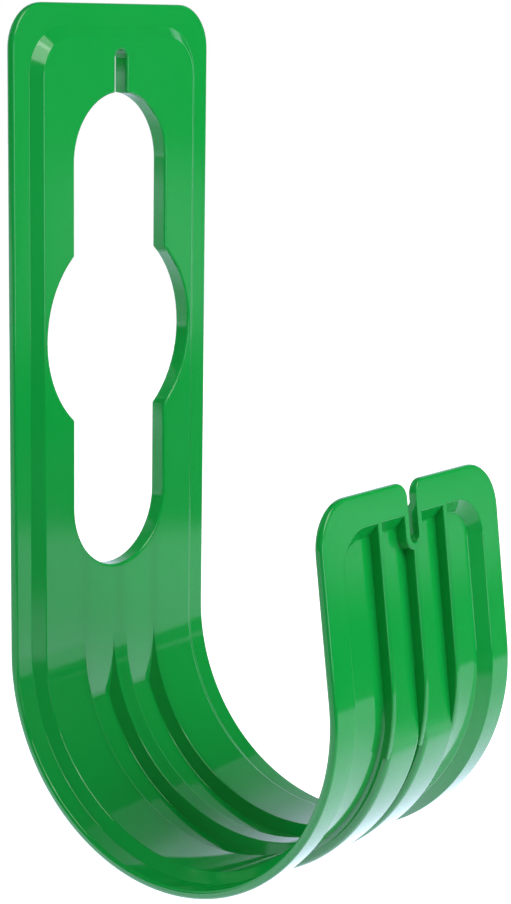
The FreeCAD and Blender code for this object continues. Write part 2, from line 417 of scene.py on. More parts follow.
@dataclass
class LipSlot:
    """Narrow slot open at the lip's end, with a raised collar on the wall side.

    Attributes:
        border: The border that the slot cuts through.
        collar_reach: How far from the slot the recess floor goes on, hidden in the collar.
    """

    border: Border
    width: float = 3.9
    length: float = 16.1
    mouth_radius: float = 4.0
    edge_radius: float = 0.3
    collar_wall: float = 1.9
    collar_edge_radius: float = 0.4
    collar_reach: float = 1.0
    arc_steps: int = 8

    @property
    def half(self) -> float:
        """Half the width of the slot."""
        return self.width / 2

    @property
    def bottom_path(self) -> float:
        """Path of the centre of the slot's round bottom."""
        return self.border.form.path_end - self.length + self.half

    def edge_rows(self) -> tuple[list[list[StripPoint]], int]:
        """Lines of the strip's rounded edge, carried on through the slot.

        Returns:
            The lines from the inside of the J round to the wall side, and how many points of each
            line belong to the outline before the slot's mouth.
        """
        border = self.border
        radius = border.edge_radius
        walls = self.wall_stations()
        arc = unit_rounding(border.steps)
        rows = []
        for out, drop in arc:
            node = border.edge_node(radius * out, border.rim_thickness - radius * drop)
            rows.append(border.row(node) + [wall.point(wall.radius * out,
                                                       wall.top - wall.radius * drop)
                                            for wall in walls])
        for rise, out in arc:
            node = border.edge_node(radius * out, radius * rise)
            rows.append(border.row(node) + [wall.point(wall.radius * out, wall.radius * rise)
                                            for wall in walls])
        return rows, len(border.row(border.edge_node(0.0, 0.0)))

    def wall_stations(self) -> list[WallStation]:
        """Places along the slot's wall.

        Returns:
            The places from the slot's mouth to the middle of its bottom.
        """
        border = self.border
        end = border.form.path_end
        stations = []
        for angle in quarter_arc(self.arc_steps):
            over, along = math.sin(angle), -math.cos(angle)
            share = angle / (math.pi / 2)
            radius = border.edge_radius + (self.edge_radius - border.edge_radius) * share
            stations.append(WallStation(self.half + self.mouth_radius * (1 - over),
                                        end - self.mouth_radius * (1 + along),
                                        over, along, radius, border.rim_thickness))
        for node in border.panel_nodes():
            stations.append(WallStation(self.half, end - node.inset, 1.0, 0.0,
                                        self.edge_radius, node.level))
        for angle in quarter_arc(self.arc_steps):
            over, along = math.cos(angle), -math.sin(angle)
            stations.append(WallStation(self.half * over, self.bottom_path + self.half * along,
                                        over, along, self.edge_radius, border.panel_level))
        return stations

    def collar_row(self, grow: float, level: float, end_path: float) -> list[StripPoint]:
        """Line round half of the slot.

        Args:
            grow: Distance from the slot's wall.
            level: Level of the line.
            end_path: Path at which the line ends.

        Returns:
            The points from the middle of the slot's bottom towards the lip's end.
        """
        radius = self.half + grow
        row = [(radius * math.cos(angle), self.bottom_path - radius * math.sin(angle), level)
               for angle in reversed(quarter_arc(self.arc_steps))]
        return row + [(radius, end_path, level)]


@dataclass
class TapOpening:
    """Opening for the tap with the screw slot above it, and the collar behind both.

    Attributes:
        border: The border of the plate that the opening is in.
        slot_reach: Distance from the circle's middle to the end of each wide slot.
        collar_sink: How far the collar goes on below the recess floor.
        floor_grow: How far from the opening the recess floor ends, hidden in the collar.
        floor_margin: How far it stays below the recess slope at the top.
    """

    border: Border
    circle_radius: float = 29.2
    slot_half_width: float = 18.7
    slot_reach: float = 66.0
    screw_half_width: float = 2.3
    edge_radius: float = 0.8
    collar_wall: float = 1.8
    collar_edge_radius: float = 0.4
    collar_sink: float = 0.4
    floor_grow: float = 0.9
    floor_margin: float = 0.05
    arc_steps: int = 18

    def arc(self, height: float, radius: float, start: float,
            end: float) -> list[tuple[float, float]]:
        """Points of an arc about the middle line.

        Args:
            height: Height of its centre.
            radius: Its radius.
            start: First angle, from straight down.
            end: Last angle.

        Returns:
            Pairs of x and height.
        """
        points = []
        for step in range(self.arc_steps + 1):
            angle = start + (end - start) * step / self.arc_steps
            points.append((radius * math.sin(angle), height - radius * math.cos(angle)))
        return points

    def row(self, grow: float, level: float) -> list[StripPoint]:
        """Half outline of the opening, from its bottom to the top of the screw slot.

        Args:
            grow: How far the line lies outside the opening.
            level: Level of the line.

        Returns:
            The points of the line, as many for every distance.
        """
        slot = self.slot_half_width + grow
        circle = self.circle_radius + grow
        screw = self.screw_half_width + grow
        reach = self.slot_reach - self.slot_half_width
        waist = math.asin(slot / circle)
        neck = math.asin(screw / slot)
        middle = self.border.form.circle_height
        top = middle + reach
        outline = self.arc(middle - reach, slot, 0.0, math.pi / 2)
        outline += self.arc(middle, circle, waist, math.pi - waist)
        outline += self.arc(top, slot, math.pi / 2, math.pi - neck)
        outline += self.arc(self.border.form.seat_height, screw, math.pi / 2, math.pi)
        return [(x, -height, level) for x, height in outline]

    def rows(self) -> list[list[StripPoint]]:
        """Lines through the opening and over the collar.

        Returns:
            The lines from the panel's side to below the recess floor.
        """
        border = self.border
        edge, crest = self.edge_radius, self.collar_edge_radius
        arc = unit_rounding(border.steps)
        profile = [(edge * out, border.panel_level - edge * drop) for out, drop in arc]
        profile += [(edge * out, edge * rise) for rise, out in arc]
        profile += [(self.collar_wall - crest * back, crest * rise) for back, rise in arc]
        profile.append((self.collar_wall, border.recess_level + self.collar_sink))
        return [self.row(grow, level) for grow, level in profile]

    def floor_row(self) -> list[StripPoint]:
        """Line inside the collar at which the recess floor ends.

        Returns:
            The points of the line, all of them below the recess slope at the top.
        """
        border = self.border
        top = border.form.plate_height - border.recess_nodes()[-1].inset - self.floor_margin
        row = self.row(self.floor_grow, border.recess_level)
        return [(x, max(path, -top), level) for x, path, level in row]


@dataclass
class Channel:
    """Groove along the inside of the bend, and the raised band behind it.

    Both start as a straight run of the plate or the lip and turn into the bend at a soft kink.

    Attributes:
        border: The border that both run between.
        groove_near: Edge of the groove next to the middle line.
        groove_far: Edge of the groove towards the rim.
        groove_spread: Width of each of its walls.
        rounding_growth: How much faster than the depth the rounding of its edges grows.
        band_near: Foot of the band next to the middle line.
        band_far: Foot of the band towards the rim.
        band_rise: How far the band stands out behind the wall side.
        run_out_radius: Radius of the kink.
    """

    border: Border
    groove_near: float = 2.7
    groove_far: float = 14.8
    groove_depth: float = 3.2
    groove_spread: float = 2.2
    groove_rounding: float = 0.5
    rounding_growth: float = 3.0
    band_near: float = 0.95
    band_far: float = 15.65
    band_rise: float = 0.2
    band_rounding: float = 2.0
    run_out_radius: float = 5.0
    arc_steps: int = 6

    def kink(self, plane: float, radius: float) -> tuple[float, float, float]:
        """Angles where the rounding between a straight run and the bend starts and ends.

        Args:
            plane: Distance of the straight run from the bend's axis.
            radius: Radius that it turns into.

        Returns:
            First angle, last angle, and distance of the rounding's centre from the axis.
        """
        across = plane - self.run_out_radius
        centre = radius - self.run_out_radius
        along = math.sqrt(centre * centre - across * across)
        return math.atan2(along, plane), math.atan2(along, across), centre

    def run_out(self, path: float, level: float, full_level: float) -> float:
        """Level of a surface that leaves one level straight and follows the bend at another.

        Args:
            path: Place along the strip.
            level: Level that it leaves.
            full_level: Level that it reaches.

        Returns:
            Its level at that path.
        """
        form = self.border.form
        angle = path / form.bend_radius
        angle = min(angle, form.bend_angle - angle)
        plane = form.bend_radius - level
        radius = form.bend_radius - full_level
        first, last, centre = self.kink(plane, radius)
        if angle >= last:
            return full_level
        if angle <= first:
            return form.bend_radius - plane / math.cos(max(angle, 0.0))
        apart = last - angle
        reach = centre * math.cos(apart)
        reach += math.sqrt(self.run_out_radius ** 2 - (centre * math.sin(apart)) ** 2)
        return form.bend_radius - reach

    def groove_section(self, path: float) -> list[StripPoint]:
        """Section across the panel and the groove.

        Args:
            path: Place along the bend.

        Returns:
            The points from the middle line to the panel's edge.
        """
        border = self.border
        top = border.panel_level
        floor = self.run_out(path, top, top - self.groove_depth)
        share = (top - floor) / self.groove_depth
        spread = self.groove_spread * share
        rounding = self.groove_rounding * min(1.0, share * self.rounding_growth)
        near = self.wall(self.groove_near, spread, top, floor, rounding)
        far = self.wall(-self.groove_far, spread, top, floor, rounding)
        row = [(0.0, top)] + near + [(-x, level) for x, level in reversed(far)]
        side = border.form.half_width - border.panel_nodes()[-1].inset
        return [(x, path, level) for x, level in row + [(side, top)]]

    def wall(self, x: float, spread: float, top: float, floor: float,
             rounding: float) -> list[tuple[float, float]]:
        """Section of one wall of the groove, with both its edges rounded.

        Args:
            x: Where the wall leaves the panel.
            spread: Width of the wall, 0 where the groove has no depth yet.
            top: Level of the panel.
            floor: Level of the groove's floor.
            rounding: Radius of the edges.

        Returns:
            Pairs of x and level, from the panel down to the floor.
        """
        steps = self.border.steps
        if spread < WELD:
            return [(x, top)] * (2 * steps + 2)
        nodes = [BorderNode(x - 1, top, 0, 0), BorderNode(x, top, 0, 0),
                 BorderNode(x + spread, floor, 0, 0), BorderNode(x + spread + 1, floor, 0, 0)]
        points = rounded_corner(*nodes[:3], rounding, steps)
        points += rounded_corner(*nodes[1:], rounding, steps)
        return [(node.inset, node.level) for node in points]

    def band_section(self, path: float) -> list[StripPoint]:
        """Section across the recess floor and the band.

        Args:
            path: Place along the bend.

        Returns:
            The points from the middle line to the edge of the recess floor.
        """
        border = self.border
        floor = border.recess_level
        crest = self.run_out(path, floor, -self.band_rise)
        radius = self.band_rounding
        arc = [(radius * out, radius * rise - self.band_rise)
               for rise, out in unit_rounding(self.arc_steps)]
        row = [(0.0, floor), (self.band_near, floor)]
        row += [(self.band_near + out, max(level, crest)) for out, level in arc]
        row += [(self.band_far - out, max(level, crest)) for out, level in reversed(arc)]
        row += [(self.band_far, floor)]
        side = border.form.half_width - border.recess_nodes()[-1].inset
        return [(x, path, level) for x, level in row + [(side, floor)]]


@dataclass
class Fin:
    """One straight fin in the recess, sunk into what it meets at both ends.

    Attributes:
        x: Middle of the fin, 0 for the one on the middle line.
        start: Path of its first end.
        end: Path of its last end.
        crest_level: Level of its crest, just inside the wall side.
        root_level: Level of its root, below the recess floor.
    """

    x: float
    start: float
    end: float
    thickness: float = 1.78
    edge_radius: float = 0.4
    crest_level: float = 0.02
    root_level: float = 3.4
    steps: int = 4

    def section(self, path: float) -> list[StripPoint]:
        """Section across the fin.

        Args:
            path: Place along the strip.

        Returns:
            The points from root over crest to root, or half of them for the fin on the middle line.
        """
        half = self.thickness / 2
        edge = [(half - self.edge_radius * back, self.crest_level + self.edge_radius * rise)
                for back, rise in reversed(unit_rounding(self.steps))]
        right = [(half, self.root_level)] + edge
        left = [] if self.x == 0.0 else [(-x, level) for x, level in reversed(right)]
        middle = [(0.0, self.crest_level)] if self.x == 0.0 else []
        return [(self.x + x, path, level) for x, level in right + middle + left]

    def build(self, shell: Shell, stations: Sequence[float]) -> None:
        """Add the fin to the shell, divided at the bend's stations."""
        inside = [path for path in stations if self.start < path < self.end]
        shell.grid([self.section(path) for path in [self.start, *inside, self.end]])


@dataclass
class Moulding:
    """The whole hanger: one shell from end to end, with its fins.

    Attributes:
        form: The bent strip.
        station_degrees: Largest turn between two stations of the bend.
        fin_spacing: Distance of the outer fins from the middle line.
        fin_end_degrees: How far round the bend from the plate or the lip a fin ends.
        middle_fin_start: Path at which the middle fin starts on the plate.
        outer_fin_start: Path at which the outer fins start there.
        fin_sink: How far the outer fins go into the slope at the lip's end.
        node: Node of the frame that the moulding stands for.
        slot_name: Name of a material slot of the frame; not used.
    """

    form: StripForm = field(default_factory=StripForm)
    station_degrees: float = 1.5
    fin_spacing: float = 14.75
    fin_end_degrees: float = 21.0
    middle_fin_start: float = -18.2
    outer_fin_start: float = -25.0
    fin_sink: float = 0.4
    node: str = "hose_hanger"
    slot_name: str = "moulded_plastic"

    def __post_init__(self) -> None:
        """Divide the bend and set up the features that share its stations."""
        count = math.ceil(self.form.bend_degrees / self.station_degrees)
        self.stations = [self.form.bend_end * step / count for step in range(count + 1)]
        self.border = Border(self.form, self.stations)
        self.slot = LipSlot(self.border)
        self.opening = TapOpening(self.border)
        self.channel = Channel(self.border)

    def build(self, finish: "MouldedPlastic") -> bpy.types.Object:
        """Build the moulding, dress it, attach it to the root body and hide the frame's node that
        it stands in for.

        Args:
            finish: The plastic that it is moulded in.

        Returns:
            The finished object.
        """
        shell = Shell(self.form)
        edge_rows, outline = self.slot.edge_rows()
        shell.grid(edge_rows)
        self.add_inner_side(shell, edge_rows[0], outline)
        self.add_wall_side(shell, edge_rows[-1], outline)
        shell.grid(self.opening.rows())
        for fin in self.fins():
            fin.build(shell, self.stations)
        piece = bpy.data.objects.new("hanger_moulding", shell.finish("hanger_moulding"))
        bpy.context.scene.collection.objects.link(piece)
        mirror = piece.modifiers.new("other half", "MIRROR")
        mirror.merge_threshold = WELD
        piece.modifiers.new("even shading", "WEIGHTED_NORMAL").weight = 100
        piece.data.materials.append(finish.build())
        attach(piece, "root")
        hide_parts(self.node)
        return piece

    def add_inner_side(self, shell: Shell, edge: list[StripPoint], outline: int) -> None:
        """Add the rim, the panel and the groove, as seen from inside the J.

        Args:
            shell: Shell that takes the faces.
            edge: Last line of the strip's rounded edge on this side.
            outline: How many of its points come before the lip slot's mouth.
        """
        nodes = self.border.panel_nodes()
        side = self.slot.half + self.slot.edge_radius
        end = self.form.path_end
        rows = [self.border.row(node) + [(side, end - node.inset, node.level)] for node in nodes]
        mouth = outline + self.slot.arc_steps + 1
        shell.grid(rows)
        shell.grid([edge[:outline], rows[0][:outline]])
        shell.flat(edge[outline - 1:mouth + 1] + [rows[0][outline - 1]])
        first, last = self.bend_range()
        sections = [self.channel.groove_section(path) for path in self.stations]
        shell.grid(sections)
        shell.flat(rows[-1][:first + 1] + sections[0][::-1] + self.opening.rows()[0])
        shell.flat(sections[-1] + rows[-1][last:] + edge[mouth + len(nodes) - 1:])

    def add_wall_side(self, shell: Shell, edge: list[StripPoint], outline: int) -> None:
        """Add the rim, the recess, the band and the lip slot's collar, as seen from the wall.

        Args:
            shell: Shell that takes the faces.
            edge: Last line of the strip's rounded edge on this side.
            outline: How many of its points come before the lip slot's mouth.
        """
        slot = self.slot
        nodes = self.border.recess_nodes()
        crest = slot.collar_wall - slot.collar_edge_radius
        end = self.form.path_end
        rows = [self.border.row(node) + [(slot.half + crest, end - node.inset, node.level)]
                for node in nodes]
        shell.grid(rows)
        shell.grid([edge[:outline], rows[0][:outline]])
        foot = end - nodes[0].inset
        wall = [slot.collar_row(slot.collar_wall - slot.collar_edge_radius * back,
                                slot.collar_edge_radius * rise, foot)
                for back, rise in unit_rounding(self.border.steps)]
        wall.append(slot.collar_row(slot.collar_wall, self.border.recess_level, foot))
        shell.grid(wall)
        shell.flat(edge[outline - 1:] + wall[0] + [rows[0][outline - 1]])
        first, last = self.bend_range()
        sections = [self.channel.band_section(path) for path in self.stations]
        shell.grid(sections)
        shell.flat(rows[-1][:first + 1] + sections[0][::-1] + self.opening.floor_row())
        hidden = slot.collar_row(slot.collar_reach, self.border.recess_level,
                                 end - nodes[-1].inset)
        shell.flat(sections[-1] + rows[-1][last:] + hidden[::-1])

    def bend_range(self) -> tuple[int, int]:
        """Places in a border line of the bend's first and last station."""
        first = self.border.corner_steps + 2 + len(self.border.plate_stations)
        return first, first + len(self.stations) - 1

    def fins(self) -> list[Fin]:
        """Fins of one half, and the half of the middle ones.

        Returns:
            Two fins from the plate into the band, and two from the band up the lip.
        """
        into_band = self.form.bend_radius * math.radians(self.fin_end_degrees)
        out_of_band = self.form.bend_end - into_band
        lip_end = self.form.path_end - self.border.recess_inset + self.fin_sink
        slot_end = self.slot.bottom_path - self.slot.half - self.slot.collar_reach
        return [Fin(0.0, self.middle_fin_start, into_band),
                Fin(self.fin_spacing, self.outer_fin_start, into_band),
                Fin(0.0, out_of_band, slot_end),
                Fin(self.fin_spacing, out_of_band, lip_end)]


def new_group(name: str, inputs: dict[str, float], outputs: Sequence[str]) -> bpy.types.NodeTree:
    """Start a shader node group with float sockets.

    Args:
        name: Name of the group.
        inputs: Input names with their values.
        outputs: Output names.

    Returns:
        The group, with its input and output nodes named "in" and "out".
    """
    group = bpy.data.node_groups.new(name, "ShaderNodeTree")
    for label, value in inputs.items():
        socket = group.interface.new_socket(label, in_out="INPUT", socket_type="NodeSocketFloat")
        socket.default_value = value
    for label in outputs:
        group.interface.new_socket(label, in_out="OUTPUT", socket_type="NodeSocketFloat")
    group.nodes.new("NodeGroupInput").name = "in"
    group.nodes.new("NodeGroupOutput").name = "out"
    return group


def feed(tree: bpy.types.NodeTree, socket: bpy.types.NodeSocket, value: NodeValue) -> None:
    """Give an input its value.

    Args:
        tree: Tree that the input is in.
        socket: The input.
        value: A number, a colour or a vector, or the output of another node.
    """
    if isinstance(value, bpy.types.NodeSocket):
        tree.links.new(value, socket)
    else:
        socket.default_value = value


def math_node(tree: bpy.types.NodeTree, operation: str,
              *values: NodeValue) -> bpy.types.NodeSocket:
    """Add a Math node.

    Args:
        tree: Tree that takes the node.
        operation: Name of the operation.
        values: Its inputs.

    Returns:
        The node's output.
    """
    node = tree.nodes.new("ShaderNodeMath")
    node.operation = operation
    for socket, value in zip(node.inputs, values):
        feed(tree, socket, value)
    return node.outputs[0]


def range_node(tree: bpy.types.NodeTree, value: NodeValue, start: NodeValue, end: NodeValue,
               low: float = 0.0, high: float = 1.0, curve: str = "SMOOTHSTEP",
               ) -> bpy.types.NodeSocket:
    """Add a Map Range node.

    Args:
        tree: Tree that takes the node.
        value: What is mapped.
        start: Value that gives low.
        end: Value that gives high.
        low: First end of the result.
        high: Last end of the result.
        curve: How the result goes from one to the other.

    Returns:
        The node's output.
    """
    node = tree.nodes.new("ShaderNodeMapRange")
    node.interpolation_type = curve
    given = {"Value": value, "From Min": start, "From Max": end, "To Min": low, "To Max": high}
    for label, part in given.items():
        feed(tree, node.inputs[label], part)
    return node.outputs["Result"]


def mix_node(tree: bpy.types.NodeTree, factor: NodeValue, first: NodeValue,
             second: NodeValue) -> bpy.types.NodeSocket:
    """Add a Mix node for colours.

    Args:
        tree: Tree that takes the node.
        factor: Share of the second colour.
        first: Colour, or the output of another node.
        second: The same.

    Returns:
        The mixed colour.
    """
    node = tree.nodes.new("ShaderNodeMix")
    node.data_type = "RGBA"
    for label, part in (("Factor", factor), ("A", first), ("B", second)):
        feed(tree, node.inputs[label], part)
    return node.outputs["Result"]


def noise_node(tree: bpy.types.NodeTree, dimensions: str,
               **given: NodeValue) -> bpy.types.NodeSocket:
    """Add a Noise Texture node.

    Args:
        tree: Tree that takes the node.
        dimensions: "3D" or "4D".
        given: Its inputs by name.

    Returns:
        The noise, from 0 to 1.
    """
    node = tree.nodes.new("ShaderNodeTexNoise")
    node.noise_dimensions = dimensions
    for label, part in given.items():
        feed(tree, node.inputs[label], part)
    return node.outputs["Fac"]


def bump_node(tree: bpy.types.NodeTree, height: NodeValue, distance: float,
              normal: bpy.types.NodeSocket | None = None) -> bpy.types.NodeSocket:
    """Add a Bump node.

    Args:
        tree: Tree that takes the node.
        height: Height of the surface.
        distance: Length that a height of 1 stands for, in metres.
        normal: Normal that the bump is added to, where it isn't the surface's own.

    Returns:
        The new normal.
    """
    node = tree.nodes.new("ShaderNodeBump")
    for label, part in (("Strength", 1.0), ("Distance", distance), ("Height", height)):
        feed(tree, node.inputs[label], part)
    if normal is not None:
        feed(tree, node.inputs["Normal"], normal)
    return node.outputs["Normal"]


def stretched_place(tree: bpy.types.NodeTree, scale: tuple[float, float, float],
                    turn: tuple[float, float, float] = (0.0, 0.0, 0.0)) -> bpy.types.NodeSocket:
    """Place on the object, for a texture that is drawn out or turned.

    Args:
        tree: Tree that takes the nodes.
        scale: Scale of the texture in each direction.
        turn: Its rotation about each axis, in radians.

    Returns:
        The place.
    """
    place = tree.nodes.new("ShaderNodeTexCoord")
    node = tree.nodes.new("ShaderNodeMapping")
    given = {"Vector": place.outputs["Object"], "Rotation": turn, "Scale": scale}
    for label, part in given.items():
        feed(tree, node.inputs[label], part)
    return node.outputs["Vector"]


def sink_mark_group() -> bpy.types.NodeTree:
    """Shallow dents that the plastic draws over each fin while it cools.

    Returns:
        A group with the height of the surface, lowest over the middle of a fin. Below the height
        Top the dents come in over the distance Fade.
    """
    sizes = {"Spacing": 0.01475, "Width": 0.0022, "Top": -0.112, "Fade": 0.01}
    group = new_group("sink marks", sizes, ["Height"])
    given = group.nodes["in"].outputs
    place = group.nodes.new("ShaderNodeTexCoord")
    split = group.nodes.new("ShaderNodeSeparateXYZ")
    feed(group, split.inputs[0], place.outputs["Object"])
    dents: NodeValue = 0.0
    for side in (-1.0, 0.0, 1.0):
        middle = math_node(group, "MULTIPLY", given["Spacing"], side)
        apart = math_node(group, "SUBTRACT", split.outputs["X"], middle)
        share = math_node(group, "DIVIDE", apart, given["Width"])
        square = math_node(group, "MULTIPLY", share, share)
        dent = math_node(group, "POWER", math.e, math_node(group, "MULTIPLY", square, -1.0))
        dents = math_node(group, "ADD", dent, dents)
    full = math_node(group, "SUBTRACT", given["Top"], given["Fade"])
    below = range_node(group, split.outputs["Z"], given["Top"], full)
    depth = math_node(group, "MULTIPLY", dents, below)
    feed(group, group.nodes["out"].inputs["Height"], math_node(group, "MULTIPLY", depth, -1.0))
    return group


def flow_group() -> bpy.types.NodeTree:
    """Slow waviness of a moulded surface, drawn out along the way the plastic flowed.

    Returns:
        A group with a height and a mask, both without sharp edges.
    """
    group = new_group("flow waviness", {"Scale": 40.0, "Detail": 2.0}, ["Height", "Mask"])
    given = group.nodes["in"].outputs
    place = stretched_place(group, (1.0, 0.35, 0.35))
    for label, variant in (("Height", 0.0), ("Mask", 7.3)):
        noise = noise_node(group, "4D", Vector=place, W=variant, Scale=given["Scale"],
                           Detail=given["Detail"])
        feed(group, group.nodes["out"].inputs[label], noise)
    return group


def scuff_group() -> bpy.types.NodeTree:
    """Few short faint marks from handling, in patches.

    Returns:
        A group with a mask, 1 on a mark.
    """
    group = new_group("handling marks", {"Patches": 55.0, "Marks": 700.0}, ["Mask"])
    given = group.nodes["in"].outputs
    patches = ("Patches", (1.0, 1.0, 1.0), (0.62, 0.70))
    marks = ("Marks", (1.0, 0.25, 0.25), (0.66, 0.74))
    mask: NodeValue = 1.0
    for label, scale, limits in (patches, marks):
        place = stretched_place(group, scale, (0.4, 0.7, 0.2))
        noise = noise_node(group, "3D", Vector=place, Scale=given[label], Detail=1.0)
        mask = math_node(group, "MULTIPLY", range_node(group, noise, *limits), mask)
    feed(group, group.nodes["out"].inputs["Mask"], mask)
    return group


def placed_group(tree: bpy.types.NodeTree, group: bpy.types.NodeTree) -> bpy.types.Node:
    """Place a node group in a material.

    Args:
        tree: The material's nodes.
        group: The group.

    Returns:
        The node that holds it.
    """
    node = tree.nodes.new("ShaderNodeGroup")
    node.node_tree = group
    return node


@dataclass(frozen=True)
class MouldedPlastic:
    """Glossy coloured plastic as it comes out of a polished mould.

    Attributes:
        name: Name of the material.
        colour: Colour of the plastic, linear.
        pale_colour: Colour where a little less pigment reached.
        deep_colour: Darker colour drawn in stripes over the fins, along the sink-mark dents.
        roughness: Roughness of the polished skin, smoothest and roughest.
        skin_limits: Values of the flow mask that stand for smoothest and roughest.
        scuff_roughness: How much rougher a handling mark is.
        wave_height: Height of the waviness, in metres.
        sink_depth: Depth of the dents over the fins, in metres.
        refraction: Index of refraction.
    """

    name: str = "green moulded plastic"
    colour: Colour = (0.0035, 0.355, 0.050)
    pale_colour: Colour = (0.0065, 0.375, 0.060)
    deep_colour: Colour = (0.0045, 0.334, 0.050)
    roughness: tuple[float, float] = (0.07, 0.11)
    skin_limits: tuple[float, float] = (0.3, 0.7)
    scuff_roughness: float = 0.16
    wave_height: float = 0.00006
    sink_depth: float = 0.000006
    refraction: float = 1.5

    def build(self) -> bpy.types.Material:
        """Make the material.

        Returns:
            The material, with all its variation from procedural nodes.
        """
        material = bpy.data.materials.new(self.name)
        material.use_nodes = True
        tree = material.node_tree
        shader = tree.nodes["Principled BSDF"]
        flow = placed_group(tree, flow_group()).outputs
        sink = placed_group(tree, sink_mark_group()).outputs
        scuffs = placed_group(tree, scuff_group()).outputs
        even = mix_node(tree, flow["Mask"], (*self.colour, 1.0), (*self.pale_colour, 1.0))
        # The colour goes darker in stripes over the fins, as deep as the dents there.
        over_fins = math_node(tree, "MULTIPLY", sink["Height"], -1.0)
        colour = mix_node(tree, over_fins, even, (*self.deep_colour, 1.0))
        skin = range_node(tree, flow["Mask"], *self.skin_limits, *self.roughness, "LINEAR")
        rougher = math_node(tree, "MULTIPLY", scuffs["Mask"], self.scuff_roughness)
        waves = bump_node(tree, flow["Height"], self.wave_height)
        dents = bump_node(tree, sink["Height"], self.sink_depth, waves)
        feed(tree, shader.inputs["Base Color"], colour)
        feed(tree, shader.inputs["Roughness"], math_node(tree, "ADD", skin, rougher))
        feed(tree, shader.inputs["Normal"], dents)
        feed(tree, shader.inputs["IOR"], self.refraction)
        return material


@dataclass(frozen=True)
class Softbox:
    """One square lamp of the studio.

    Attributes:
        role: What the lamp is for.
        place: Where it hangs, in metres.
        aim: Point that it faces.
        size: Width and height.
        power: Power in watts.
        reflected: Whether it shows in reflections.
    """

    role: LampRole
    place: Place
    aim: Place
    size: tuple[float, float]
    power: float
    reflected: bool = True

    def build(self) -> bpy.types.Object:
        """Hang the lamp.

        Returns:
            The lamp.
        """
        data = bpy.data.lights.new(self.role.value, "AREA")
        data.shape = "RECTANGLE"
        data.size, data.size_y = self.size
        data.energy = self.power
        lamp = bpy.data.objects.new(self.role.value, data)
        lamp.location = self.place
        lamp.visible_glossy = self.reflected
        facing = Vector(self.aim) - Vector(self.place)
        lamp.rotation_euler = facing.to_track_quat("-Z", "Y").to_euler()
        bpy.context.scene.collection.objects.link(lamp)
        return lamp


@dataclass(frozen=True)
class StudioCamera:
    """Camera at the photograph's viewing angle.

    Attributes:
        place: Where it stands, in metres.
        azimuth: Degrees from +Y towards +X that it looks along.
        elevation: Degrees that it looks down.
        roll: Degrees that it is turned about its own axis.
        sensor: Width of the sensor, in millimetres.
        lens: Focal length, in millimetres.
        shift: Sideways and upward shift of the picture.
        clip_start: Distance at which it starts to see, in metres.
    """

    place: Place = (-0.46880, -0.41639, 0.01177)
    azimuth: float = 52.5
    elevation: float = 11.28
    roll: float = -0.904
    sensor: float = 36.0
    lens: float = 89.79
    shift: tuple[float, float] = (-0.01247, 0.01563)
    clip_start: float = 0.01

    def build(self) -> bpy.types.Object:
        """Set the camera up and make it the scene's own.

        Returns:
            The camera.
        """
        azimuth = math.radians(self.azimuth)
        elevation = math.radians(self.elevation)
        roll = math.radians(self.roll)
        level = math.cos(elevation)
        ahead = Vector((math.sin(azimuth) * level, math.cos(azimuth) * level, -math.sin(elevation)))
        right = Vector((math.cos(azimuth), -math.sin(azimuth), 0.0))
        up = right.cross(ahead)
        across = right * math.cos(roll) - up * math.sin(roll)
        upright = right * math.sin(roll) + up * math.cos(roll)
        data = bpy.data.cameras.new("camera")
        data.sensor_width = self.sensor
        data.lens = self.lens
        data.shift_x, data.shift_y = self.shift
        data.clip_start = self.clip_start
        camera = bpy.data.objects.new("camera", data)
        turned = Matrix((across, upright, -ahead)).transposed().to_4x4()
        turned.translation = Vector(self.place)
        camera.matrix_world = turned
        bpy.context.scene.collection.objects.link(camera)
        bpy.context.scene.camera = camera
        return camera


class Span(Enum):
    """How much each direction counts in the distance of a falloff."""

    LEVEL = (1.0, 1.0, 0.0)
    UPRIGHT = (0.0, 0.0, 1.0)


@dataclass(frozen=True)
class Falloff:
    """Brightness that changes softly with the distance from a point.

    Round a point far away it changes along nearly straight lines.

    Attributes:
        centre: The point, in metres.
        span: Directions that the distance is measured in.
        steps: Distances, and the brightness there.
    """

    centre: Place
    span: Span
    steps: tuple[tuple[float, float], ...]

    def build(self, tree: bpy.types.NodeTree) -> NodeValue:
        """Add the nodes to a material.

        Args:
            tree: The material's nodes.

        Returns:
            The brightness.
        """
        here = tree.nodes.new("ShaderNodeNewGeometry").outputs["Position"]
        for operation, value in (("SUBTRACT", self.centre), ("MULTIPLY", self.span.value)):
            node = tree.nodes.new("ShaderNodeVectorMath")
            node.operation = operation
            feed(tree, node.inputs[0], here)
            feed(tree, node.inputs[1], value)
            here = node.outputs[0]
        distance = tree.nodes.new("ShaderNodeVectorMath")
        distance.operation = "LENGTH"
        feed(tree, distance.inputs[0], here)
        total: NodeValue = self.steps[0][1]
        for (near, before), (far, after) in zip(self.steps, self.steps[1:]):
            change = range_node(tree, distance.outputs["Value"], near, far, 0.0, after - before)
            total = math_node(tree, "ADD", change, total)
        return total


